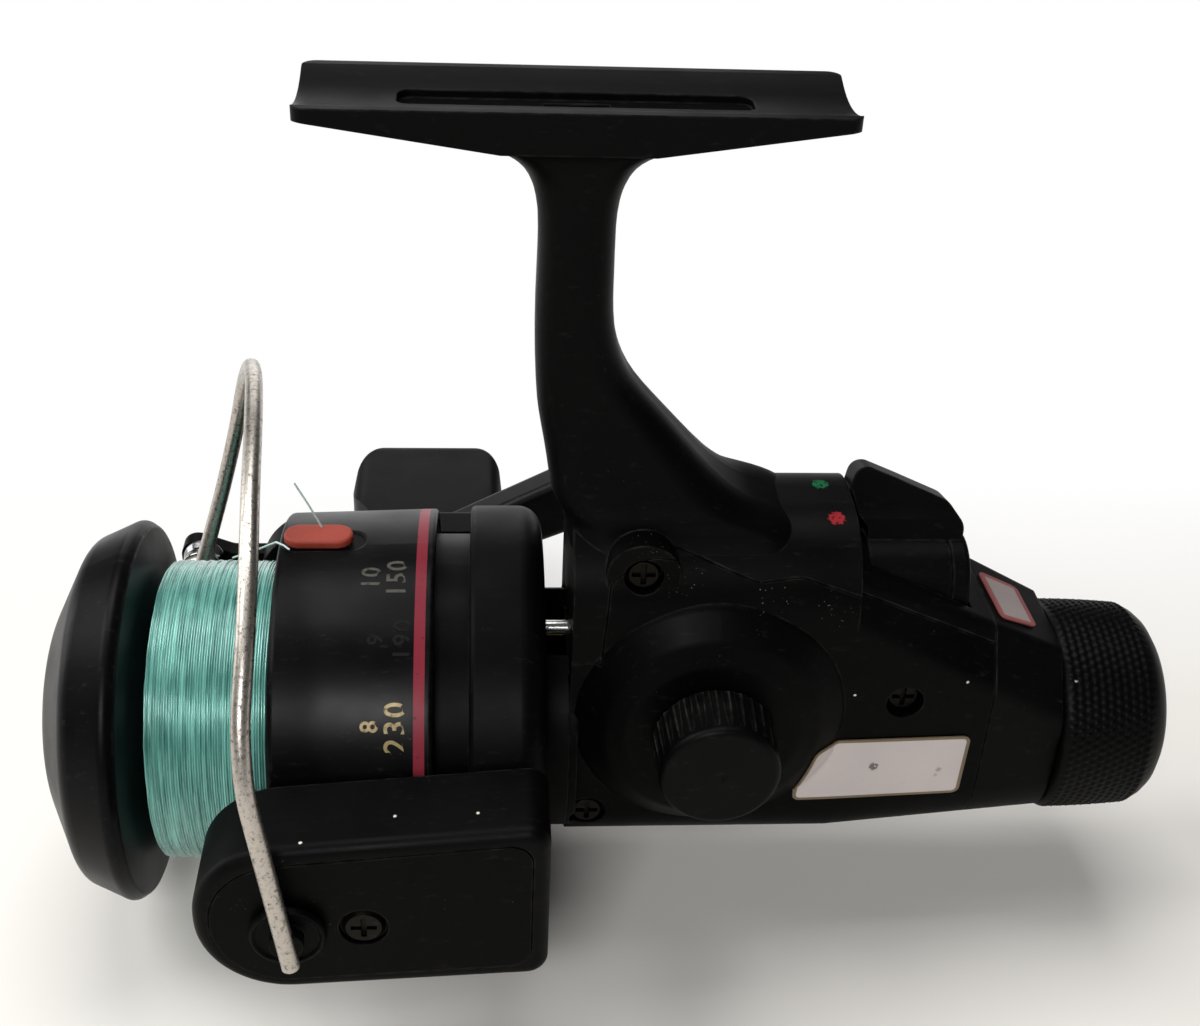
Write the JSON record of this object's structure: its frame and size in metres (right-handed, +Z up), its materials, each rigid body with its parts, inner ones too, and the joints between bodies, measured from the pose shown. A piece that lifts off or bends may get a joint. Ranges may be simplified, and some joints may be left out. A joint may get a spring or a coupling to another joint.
{
  "type": "spinning reel",
  "caption": "Fixed-spool fishing reel with rear drag knob, folding bail, wound line, crank handle and rod foot; gear train and anti-reverse inside.",
  "frame": {"origin": "centre of the foot's flat top, at the height of its edge lands", "axes": "+Z up out of the foot, +X towards the drag knob, +Y towards the crank"},
  "size_m": [0.1443, 0.12, 0.1093],
  "materials": {
    "body_black": "satin moulded black",
    "cover_black": "satin moulded black",
    "spool_black": "semi-gloss black",
    "knob_black": "knurled satin black",
    "wire_steel": "bare drawn wire, scuffed",
    "shaft_steel": "ground",
    "screw_steel": "darkened",
    "gear_zinc": "die-cast",
    "bearing_brass": "machined",
    "handle_metal": "satin black",
    "line": "wound monofilament",
    "felt": "oiled drag felt",
    "roller_chrome": "polished",
    "clip_red": "satin brick red"
  },
  "bodies": {
    "case": {"main_frame": "body_black", "side_cover": "cover_black", "drag_housing": "body_black", "cover_screws": "screw_steel", "crosswind_stud": "shaft_steel", "slider_guide_rod": "shaft_steel", "pinion_bush": "bearing_brass", "pinion_bearing": "shaft_steel", "bearing_plate": "shaft_steel", "drive_bush_far": "bearing_brass", "drive_bush_near": "bearing_brass", "pawl_pin": "shaft_steel", "drag_washers_eared": "shaft_steel", "housing_screw": "screw_steel", "drag_spring": "shaft_steel"},
    "handle": {"drive_gear": "gear_zinc", "crosswind_pinion": "gear_zinc", "handle_screw_cap": "knob_black", "handle_neck": "handle_metal", "handle_arm": "handle_metal", "knob_spindle": "shaft_steel"},
    "knob": {"handle_knob": "knob_black"},
    "rotor": {"rotor": "body_black", "rotor_arm_cover": "cover_black", "arm_cover_screw": "screw_steel", "rotor_nut": "shaft_steel", "pinion": "bearing_brass", "ratchet_wheel": "shaft_steel"},
    "crosswind": {"crosswind_gear": "gear_zinc"},
    "slider": {"crosswind_slider": "gear_zinc"},
    "spool": {"spool": "spool_black", "wound_line": "line", "main_shaft": "shaft_steel", "line_clip": "clip_red"},
    "button": {"spool_release_button": "knob_black"},
    "bail": {"bail_wire": "wire_steel", "bail_cup": "cover_black", "bail_lever": "cover_black", "bail_pivot_screw": "screw_steel", "roller_holder": "wire_steel"},
    "roller": {"line_roller": "roller_chrome"},
    "antireverse": {"antireverse_lever": "body_black", "antireverse_rod": "shaft_steel"},
    "pawl": {"antireverse_pawl": "shaft_steel"},
    "drag_core": {"drag_sleeve": "bearing_brass", "drag_washers_keyed": "felt"},
    "drag_nut": {"drag_nut": "bearing_brass"},
    "drag_knob": {"drag_knob": "knob_black"}
  },
  "joints": [
    {"name": "handle_turn", "type": "hinge", "parent": "case", "child": "handle", "pos_m": [0.01825, 0, -0.07455], "axis": [0, 1, 0], "continuous": true},
    {"name": "knob_spin", "type": "hinge", "parent": "handle", "child": "knob", "pos_m": [-0.01896, 0, -0.0927], "axis": [0, 1, 0], "continuous": true},
    {"name": "rotor_spin", "type": "hinge", "parent": "case", "child": "rotor", "pos_m": [0, 0, -0.083], "axis": [1, 0, 0], "continuous": true},
    {"name": "crosswind_turn", "type": "hinge", "parent": "case", "child": "crosswind", "pos_m": [0.03154, 0, -0.083], "axis": [0, 1, 0], "continuous": true},
    {"name": "spool_travel", "type": "slide", "parent": "case", "child": "slider", "axis": [-1, 0, 0], "range_m": [-0.0026, 0.0094]},
    {"name": "spool_spin", "type": "hinge", "parent": "slider", "child": "spool", "pos_m": [0, 0, -0.083], "axis": [1, 0, 0], "continuous": true},
    {"name": "button_press", "type": "slide", "parent": "spool", "child": "button", "axis": [1, 0, 0], "range_m": [0, 0.0015], "stiffness_N_per_m": 400, "springref_m": -0.001},
    {"name": "bail_swing", "type": "hinge", "parent": "rotor", "child": "bail", "pos_m": [-0.0312, 0, -0.083], "axis": [0, -1, 0], "range_deg": [0, 112]},
    {"name": "roller_spin", "type": "hinge", "parent": "bail", "child": "roller", "pos_m": [-0.0505, 0, -0.0825], "axis": [0, 1, 0], "continuous": true},
    {"name": "antireverse_turn", "type": "hinge", "parent": "case", "child": "antireverse", "pos_m": [0, 0, -0.062], "axis": [1, 0, 0], "range_deg": [0, 30]},
    {"name": "pawl_lift", "type": "hinge", "parent": "case", "child": "pawl", "pos_m": [0, -0.0056, -0.0737], "axis": [1, 0, 0], "range_deg": [-6, 0.5]},
    {"name": "drag_core_spin", "type": "hinge", "parent": "case", "child": "drag_core", "pos_m": [0, 0, -0.083], "axis": [1, 0, 0], "continuous": true},
    {"name": "drag_nut_travel", "type": "slide", "parent": "case", "child": "drag_nut", "axis": [-1, 0, 0], "range_m": [0, 0.00112], "deforming": ["drag_spring"]},
    {"name": "drag_knob_turn", "type": "hinge", "parent": "case", "child": "drag_knob", "pos_m": [0, 0, -0.083], "axis": [1, 0, 0], "range_deg": [0, 540]}
  ],
  "couplings": [
    {"joint": "rotor_spin", "follows": "handle_turn", "ratio": 4.6},
    {"joint": "crosswind_turn", "follows": "handle_turn", "ratio": -0.5},
    {"joint": "pawl_lift", "follows": "antireverse_turn", "ratio": -0.16667},
    {"joint": "drag_core_spin", "follows": "spool_spin", "ratio": 1},
    {"joint": "drag_knob_turn", "follows": "drag_nut_travel", "rad_per_m": 8377.5}
  ]
}
